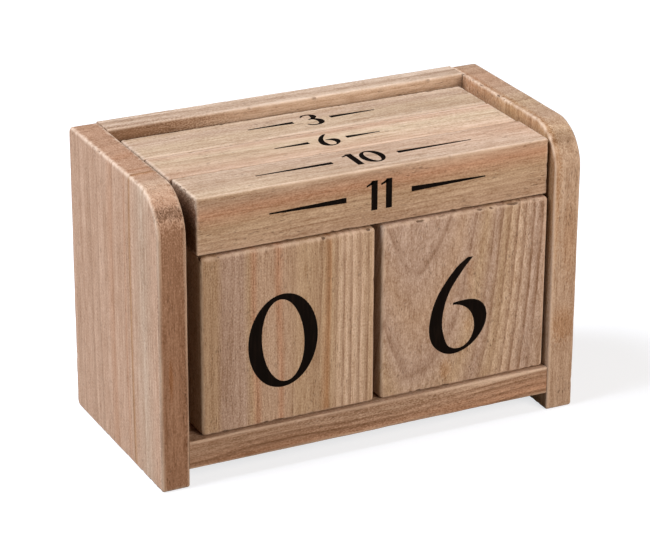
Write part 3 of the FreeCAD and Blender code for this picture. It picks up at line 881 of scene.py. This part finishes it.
# Each cube's body, and the digits on its faces in this order.
CUBE_FACES = ("front", "right", "back", "left", "top", "bottom")
CUBE_DAYS = {"day_cube_left": ("left_cube", "012345"), "day_cube_right": ("right_cube", "601278")}

# Each bar's body, the numbers on its faces in this order, how far they stand right of the middle, and
# where the rules beside them start and end, from the number's middle.
BAR_FACES = ("front", "top", "back", "bottom")
BAR_MONTHS = {
    "month_bar_front": ("front_bar", (11, 10, 9, 12), 0.6, (9.5, 31.5)),
    "month_bar_middle": ("middle_bar", (5, 6, 7, 8), -1.8, (5.5, 15.5)),
    "month_bar_rear": ("rear_bar", (2, 3, 4, 1), 1.5, (5.5, 19.0)),
}
# How much bolder than a day's a month's strokes are, how far above the middle it stands, and the rules.
MONTH_WEIGHT = 1.4
MONTH_RAISE = 0.4
RULE_THICKNESS = 1.5


class CALENDAR_OT_side_panels(bpy.types.Operator):
    """Dresses the two side panels with their arched fronts"""

    bl_idname = "calendar.side_panels"
    bl_label = "Side panels"

    def execute(self, context):
        for side, rounds in (("left", (OUTER_ROUND, INNER_ROUND)), ("right", (INNER_ROUND, OUTER_ROUND))):
            blank = Blank(f"side_panel_{side}", "cabinet", "cabinet_wood", SIDE_RADII, *rounds)
            wooden_piece(blank, context.scene)
        return {"FINISHED"}


class CALENDAR_OT_boards(bpy.types.Operator):
    """Dresses the back panel and the shelf, which are glued between the side panels"""

    bl_idname = "calendar.boards"
    bl_label = "Back panel and shelf"

    def execute(self, context):
        for node, radii in (("back_panel", BOARD_RADII), ("shelf", SHELF_RADII)):
            wooden_piece(Blank(node, "cabinet", "cabinet_wood", radii, 0.0, 0.0), context.scene)
        return {"FINISHED"}


class CALENDAR_OT_day_cubes(bpy.types.Operator):
    """Dresses the two loose day cubes"""

    bl_idname = "calendar.day_cubes"
    bl_label = "Day cubes"

    def execute(self, context):
        for node, (body, _) in CUBE_DAYS.items():
            blank = Blank(node, body, "cube_wood", (CUBE_RADIUS,) * 4, CUBE_RADIUS, CUBE_RADIUS)
            wooden_piece(blank, context.scene)
        return {"FINISHED"}


class CALENDAR_OT_month_bars(bpy.types.Operator):
    """Dresses the three loose month bars"""

    bl_idname = "calendar.month_bars"
    bl_label = "Month bars"

    def execute(self, context):
        for node, (body, *_) in BAR_MONTHS.items():
            blank = Blank(node, body, "bar_wood", (BAR_RADIUS,) * 4, BAR_RADIUS, BAR_RADIUS)
            wooden_piece(blank, context.scene)
        return {"FINISHED"}


class CALENDAR_OT_numbers(bpy.types.Operator):
    """Prints a digit on each face of the cubes and a month number on each long face of the bars"""

    bl_idname = "calendar.numbers"
    bl_label = "Numbers"

    def execute(self, context):
        sizes = context.scene.calendar_sizes
        ink = printed_ink(context.scene.calendar_colours)
        skin, day_height, month_height = sizes.skin / MM, sizes.day_height / MM, sizes.month_height / MM
        place = (-sizes.day_offset_x / MM, -sizes.day_offset_z / MM)
        for node, (body, days) in CUBE_DAYS.items():
            faces = faces_of(node)
            prints = []
            for side, day in zip(CUBE_FACES, days):
                prints.append((faces[side], number_slabs(day, day_height), place))
            name = f"{node}_digits"
            finish_piece(name, printed_mesh(name, prints, skin), ink, body)
        for node, (body, months, shift, rules) in BAR_MONTHS.items():
            faces = faces_of(node)
            prints = []
            for side, month in zip(BAR_FACES, months):
                slabs = number_slabs(str(month), month_height, MONTH_WEIGHT) + rule_slabs(*rules)
                prints.append((faces[side], slabs, (shift, MONTH_RAISE)))
            name = f"{node}_numbers"
            finish_piece(name, printed_mesh(name, prints, skin), ink, body)
        return {"FINISHED"}


class CALENDAR_OT_dowels(bpy.types.Operator):
    """Gives the hidden dowels their beech"""

    bl_idname = "calendar.dowels"
    bl_label = "Dowels"

    def execute(self, context):
        beech = turned_beech(context.scene.calendar_colours)
        for name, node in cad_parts.items():
            if "dowel" in name:
                node.data.materials.clear()
                node.data.materials.append(beech)
        return {"FINISHED"}


# Camera fitted to the photographed corners, in the frame's own axes.
CAMERA_TARGET = (-14.84, -30.0, 53.02)
CAMERA_DISTANCE = 719.16
CAMERA_AZIMUTH = -26.299
CAMERA_ELEVATION = 23.003
CAMERA_ROLL = 0.271
CAMERA_LENS = 154.038
SENSOR_WIDTH = 36.0

# Softboxes: the middle and the side of each, and the point that both face.
KEY_PLACE = (-830, 250, 1030)
KEY_SIZE = 900
FILL_PLACE = (200, -580, 290)
FILL_SIZE = 400
LIGHT_TARGET = (0, 0, 40)


class CALENDAR_OT_stage(bpy.types.Operator):
    """Sets the floor, the soft studio light and the camera"""

    bl_idname = "calendar.stage"
    bl_label = "Stage"

    def execute(self, context):
        scene = context.scene
        add_floor(scene.calendar_colours)
        light = scene.calendar_light
        add_softbox("key_softbox", KEY_PLACE, KEY_SIZE, light.key, light.key_colour)
        add_softbox("fill_softbox", FILL_PLACE, FILL_SIZE, light.fill, light.fill_colour)
        scene.world = studio_world(light)
        scene.view_settings.view_transform = "Standard"
        scene.camera = add_camera()
        return {"FINISHED"}


def add_floor(colours):
    """A round matt floor at table level, its rim at reach (cos a, sin a).

    It glows a little, like a light table, which keeps its shadows faint. It throws less light back on
    the calendar than it shows, so that the narrow gaps stay dark."""
    reach_in_metres, count = 0.7, 96
    angle = np.linspace(0, 2 * math.pi, count, endpoint=False)
    rim = reach_in_metres * np.stack((np.cos(angle), np.sin(angle), 0 * angle), axis=-1)
    mesh = bpy.data.meshes.new("floor")
    mesh.from_pydata(rim.tolist(), [], [tuple(range(count))])
    material, tree = new_material("glowing_matt_board")
    matt = {"Base Color": tuple(colours.floor), "Roughness": 0.9}
    glow = {"Emission Color": (0.96, 0.98, 1.0, 1), "Emission Strength": 0.72}
    shown = add(tree, "ShaderNodeBsdfPrincipled", {**matt, **glow})
    thrown = add(tree, "ShaderNodeBsdfDiffuse", {"Color": tuple(colours.bounce)})
    seen = add(tree, "ShaderNodeLightPath").outputs["Is Camera Ray"]
    shader = add(tree, "ShaderNodeMixShader", {0: seen, 1: thrown.outputs[0], 2: shown.outputs[0]})
    add(tree, "ShaderNodeOutputMaterial", {"Surface": shader.outputs[0]})
    mesh.materials.append(material)
    floor = bpy.data.objects.new("floor", mesh)
    bpy.context.scene.collection.objects.link(floor)


def studio_world(light):
    """Even warm light from all round, in front of a white background."""
    world = bpy.data.worlds.new("studio")
    world.use_nodes = True
    tree = world.node_tree
    tree.nodes.clear()
    lit = add(tree, "ShaderNodeBackground", {"Color": tuple(light.room_colour), "Strength": light.room})
    white = add(tree, "ShaderNodeBackground", {"Color": (1, 1, 1, 1), "Strength": 1.0})
    seen = add(tree, "ShaderNodeLightPath").outputs["Is Camera Ray"]
    both = add(tree, "ShaderNodeMixShader", {0: seen, 1: lit.outputs[0], 2: white.outputs[0]})
    add(tree, "ShaderNodeOutputWorld", {"Surface": both.outputs[0]})
    return world


def add_softbox(name, place, size, power, tint):
    """A square area light of that size in millimetres, turned towards the calendar."""
    lamp = bpy.data.lights.new(name, "AREA")
    lamp.shape = "SQUARE"
    lamp.size = size * MM
    lamp.energy = power
    lamp.color = tuple(tint)[:3]
    box = bpy.data.objects.new(name, lamp)
    box.visible_camera = False
    spot = Vector(place) * MM
    aim = Vector(LIGHT_TARGET) * MM - spot
    box.matrix_world = Matrix.Translation(spot) @ aim.to_track_quat("-Z", "Y").to_matrix().to_4x4()
    bpy.context.scene.collection.objects.link(box)


def add_camera():
    """The camera, on a sphere round its target and rolled about its own axis."""
    azimuth, elevation, roll = (math.radians(a) for a in (CAMERA_AZIMUTH, CAMERA_ELEVATION, CAMERA_ROLL))
    flat = math.cos(elevation)
    back = Vector((math.sin(azimuth) * flat, -math.cos(azimuth) * flat, math.sin(elevation)))
    level = Vector((math.cos(azimuth), math.sin(azimuth), 0))
    right = math.cos(roll) * level + math.sin(roll) * back.cross(level)
    up = back.cross(right)
    turn = Matrix((right, up, back)).transposed().to_4x4()
    data = bpy.data.cameras.new("photo_camera")
    data.sensor_fit = "HORIZONTAL"
    data.sensor_width = SENSOR_WIDTH
    data.lens = CAMERA_LENS
    camera = bpy.data.objects.new("photo_camera", data)
    place = (Vector(CAMERA_TARGET) + CAMERA_DISTANCE * back) * MM
    camera.matrix_world = Matrix.Translation(place) @ turn
    bpy.context.scene.collection.objects.link(camera)
    return camera


OPERATORS = (
    CALENDAR_OT_stage,
    CALENDAR_OT_side_panels,
    CALENDAR_OT_boards,
    CALENDAR_OT_day_cubes,
    CALENDAR_OT_month_bars,
    CALENDAR_OT_numbers,
    CALENDAR_OT_dowels,
)


class CALENDAR_PT_builder(bpy.types.Panel):
    """Lists the calendar's steps and settings in the 3D view's sidebar"""

    bl_idname = "CALENDAR_PT_builder"
    bl_label = "Desk calendar"
    bl_space_type = "VIEW_3D"
    bl_region_type = "UI"
    bl_category = "Calendar"

    def draw(self, context):
        for operator in OPERATORS:
            self.layout.operator(operator.bl_idname)
        for title in GROUPS:
            group = getattr(context.scene, title)
            for setting in group.bl_rna.properties.keys():
                if setting not in ("rna_type", "name"):
                    self.layout.prop(group, setting)


GROUPS = {
    "calendar_sizes": CalendarSizes,
    "calendar_colours": CalendarColours,
    "calendar_light": CalendarLight,
}


def register():
    for group_class in GROUPS.values():
        bpy.utils.register_class(group_class)
    for title, group_class in GROUPS.items():
        setattr(bpy.types.Scene, title, bpy.props.PointerProperty(type=group_class))
    for operator in OPERATORS:
        bpy.utils.register_class(operator)
    bpy.utils.register_class(CALENDAR_PT_builder)


def unregister():
    bpy.utils.unregister_class(CALENDAR_PT_builder)
    for operator in reversed(OPERATORS):
        bpy.utils.unregister_class(operator)
    for title, group_class in GROUPS.items():
        delattr(bpy.types.Scene, title)
        bpy.utils.unregister_class(group_class)


def main():
    """Registers the add-on, then builds the stage and every piece."""
    register()
    for operator in OPERATORS:
        group, action = operator.bl_idname.split(".")
        getattr(getattr(bpy.ops, group), action)()


if __name__ == "__main__":
    main()
